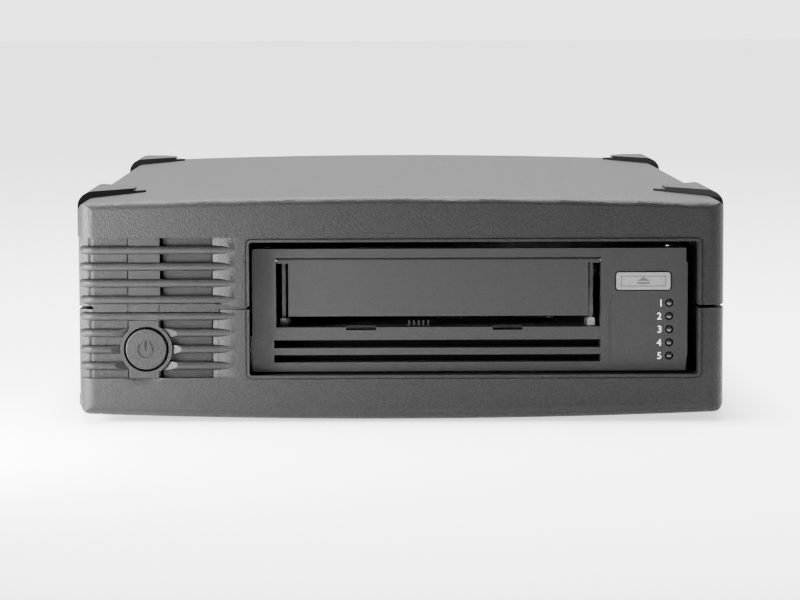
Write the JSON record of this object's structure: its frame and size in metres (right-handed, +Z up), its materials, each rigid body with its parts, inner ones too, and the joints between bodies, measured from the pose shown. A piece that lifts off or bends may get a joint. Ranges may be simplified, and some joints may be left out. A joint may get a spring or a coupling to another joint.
{
  "type": "data tape drive",
  "caption": "Half-height data tape drive in a crowned two-part table-top case with a louvred corner, a hinged cartridge flap, press buttons and a loading tray.",
  "frame": {"origin": "under the middle of the case, at the height of the surface that its feet stand on", "axes": "+X to the right of the drive face, +Y from the face towards the rear, +Z up"},
  "size_m": [0.2202, 0.3104, 0.0759],
  "materials": {
    "case_plastic": "fine grained",
    "pad_rubber": "matt",
    "button_plastic": "fine grained",
    "bezel_plastic": "fine grained",
    "key_plastic": "satin",
    "lens_plastic": "clear smoked",
    "tray_plastic": "satin",
    "gear_plastic": "satin",
    "steel": "bright",
    "zinc_sheet": "zinc plated",
    "cast_alloy": "as cast",
    "circuit_board": "solder mask",
    "black_plastic": "matt",
    "reel_plastic": "satin",
    "capacitor_sleeve": "shrink sleeve",
    "brass_plating": "plated",
    "ferrite": "ferrite and tape"
  },
  "bodies": {
    "housing": {"top_cover": "case_plastic", "bottom_cover": "case_plastic", "corner_pads": "pad_rubber", "corner_feet": "pad_rubber", "power_button_spring": "steel", "power_switch": "black_plastic", "switch_board": "circuit_board", "case_screws": "steel", "drive_bezel": "bezel_plastic", "door_pin": "steel", "eject_button_spring": "steel", "indicator_lenses": "lens_plastic", "indicator_board": "circuit_board", "chassis": "cast_alloy", "chassis_lid": "zinc_sheet", "lid_screws": "steel", "drive_board": "circuit_board", "drive_connector": "black_plastic", "loader_motor": "steel", "hub_motor": "black_plastic", "reel_motor": "black_plastic", "head_base": "cast_alloy", "drive_cradle": "zinc_sheet", "cradle_screws": "steel", "rear_panel": "zinc_sheet", "fan_frame": "black_plastic", "inlet_socket": "black_plastic", "inlet_pins": "brass_plating", "panel_screws": "steel", "port_shells": "zinc_sheet", "port_tongues": "black_plastic", "port_board": "circuit_board", "supply_board": "circuit_board", "supply_screws": "steel", "supply_transformer": "ferrite", "supply_capacitors": "capacitor_sleeve", "supply_heat_sinks": "cast_alloy"},
    "power_button": {"power_button": "button_plastic"},
    "eject_button": {"eject_button": "key_plastic"},
    "door": {"cartridge_door": "bezel_plastic"},
    "fan_rotor": {"fan_rotor": "black_plastic"},
    "tray": {"cartridge_tray": "tray_plastic"},
    "loader_gear": {"loader_gear": "gear_plastic"},
    "motor_pinion": {"motor_pinion": "brass_plating"},
    "drive_hub": {"drive_hub": "steel"},
    "take_up_reel": {"take_up_reel": "reel_plastic"},
    "guide_roller_1": {"guide_roller_1": "steel"},
    "guide_roller_2": {"guide_roller_2": "steel"},
    "guide_roller_3": {"guide_roller_3": "steel"},
    "guide_roller_4": {"guide_roller_4": "steel"},
    "head_carriage": {"head_carriage": "steel"}
  },
  "joints": [
    {"name": "power_button_press", "type": "slide", "parent": "housing", "child": "power_button", "axis": [0, 1, 0], "range_m": [0, 0.0015], "stiffness_N_per_m": 400, "springref_m": -0.001, "deforming": ["power_button_spring"]},
    {"name": "eject_button_press", "type": "slide", "parent": "housing", "child": "eject_button", "axis": [0, 1, 0], "range_m": [0, 0.0008], "stiffness_N_per_m": 400, "springref_m": -0.001, "deforming": ["eject_button_spring"]},
    {"name": "door_swing", "type": "hinge", "parent": "housing", "child": "door", "pos_m": [0.01235, -0.14885, 0.054], "axis": [1, 0, 0], "range_deg": [0, 88], "stiffness_Nm_per_rad": 0.0006, "springref_deg": -11.46},
    {"name": "fan_spin", "type": "hinge", "parent": "housing", "child": "fan_rotor", "pos_m": [0.058, 0.145, 0.0386], "axis": [0, 1, 0], "continuous": true},
    {"name": "tray_slide", "type": "slide", "parent": "housing", "child": "tray", "axis": [0, 1, 0], "range_m": [0, 0.012]},
    {"name": "loader_gear_turn", "type": "hinge", "parent": "housing", "child": "loader_gear", "pos_m": [0.07305, -0.0798, 0.0426], "axis": [0, 0, 1], "range_deg": [-95.54, 0]},
    {"name": "motor_pinion_turn", "type": "hinge", "parent": "housing", "child": "motor_pinion", "pos_m": [0.07305, -0.06895, 0.0426], "axis": [0, 0, 1], "range_deg": [0, 191.04]},
    {"name": "drive_hub_spin", "type": "hinge", "parent": "housing", "child": "drive_hub", "pos_m": [0.01235, -0.0858, 0.0259], "axis": [0, 0, 1], "continuous": true},
    {"name": "take_up_reel_spin", "type": "hinge", "parent": "housing", "child": "take_up_reel", "pos_m": [0.04492, 0.0102, 0.0259], "axis": [0, 0, 1], "continuous": true},
    {"name": "head_lift", "type": "slide", "parent": "housing", "child": "head_carriage", "axis": [0, 0, 1], "range_m": [-0.0015, 0.0015]},
    {"name": "guide_roller_1_spin", "type": "hinge", "parent": "housing", "child": "guide_roller_1", "pos_m": [-0.01985, -0.01759, 0.0259], "axis": [0, 0, 1], "continuous": true},
    {"name": "guide_roller_2_spin", "type": "hinge", "parent": "housing", "child": "guide_roller_2", "pos_m": [-0.02816, -0.00478, 0.0259], "axis": [0, 0, 1], "continuous": true},
    {"name": "guide_roller_3_spin", "type": "hinge", "parent": "housing", "child": "guide_roller_3", "pos_m": [-0.02816, 0.02518, 0.0259], "axis": [0, 0, 1], "continuous": true},
    {"name": "guide_roller_4_spin", "type": "hinge", "parent": "housing", "child": "guide_roller_4", "pos_m": [-0.01985, 0.03799, 0.0259], "axis": [0, 0, 1], "continuous": true}
  ],
  "couplings": [
    {"joint": "loader_gear_turn", "follows": "tray_slide", "rad_per_m": -138.89},
    {"joint": "motor_pinion_turn", "follows": "tray_slide", "rad_per_m": 277.78}
  ]
}
